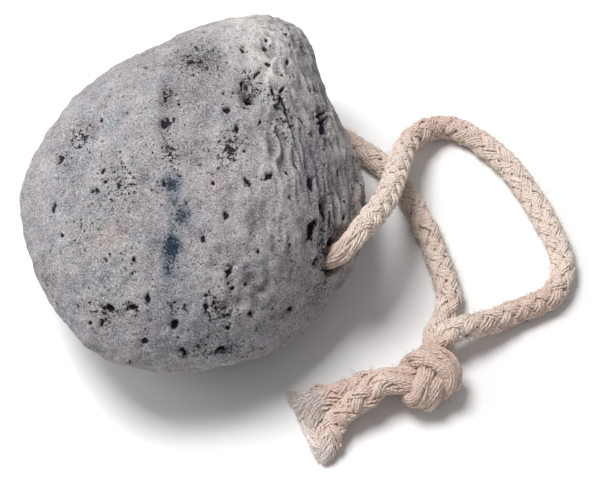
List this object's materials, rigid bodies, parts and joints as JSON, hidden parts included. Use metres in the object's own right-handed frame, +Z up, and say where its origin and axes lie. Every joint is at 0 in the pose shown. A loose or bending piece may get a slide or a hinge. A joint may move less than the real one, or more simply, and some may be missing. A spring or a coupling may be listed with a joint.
{
  "type": "pumice stone on a rope",
  "caption": "Rounded pumice cobble with open gas pits, drilled through one end, on a loop of braided cotton rope that ends in an overhand knot with frayed tails.",
  "frame": {"origin": "on the table, below the middle of the stone's length and width", "axes": "+Z up, +X towards the loop of rope, +Y towards the stone's blunt upper end"},
  "size_m": [0.1399, 0.1132, 0.0531],
  "materials": {
    "pumice": "matte light grey pumice, bluish at the left and pinkish at the right, with dark open pits",
    "cotton_rope": "soft undyed cotton braid, cream to pinkish beige"
  },
  "bodies": {
    "root": {"pumice_stone": "pumice", "rope_long_side": "cotton_rope", "rope_short_side": "cotton_rope", "rope_knot": "cotton_rope", "rope_tail_left": "cotton_rope", "rope_tail_front": "cotton_rope"}
  },
  "joints": []
}
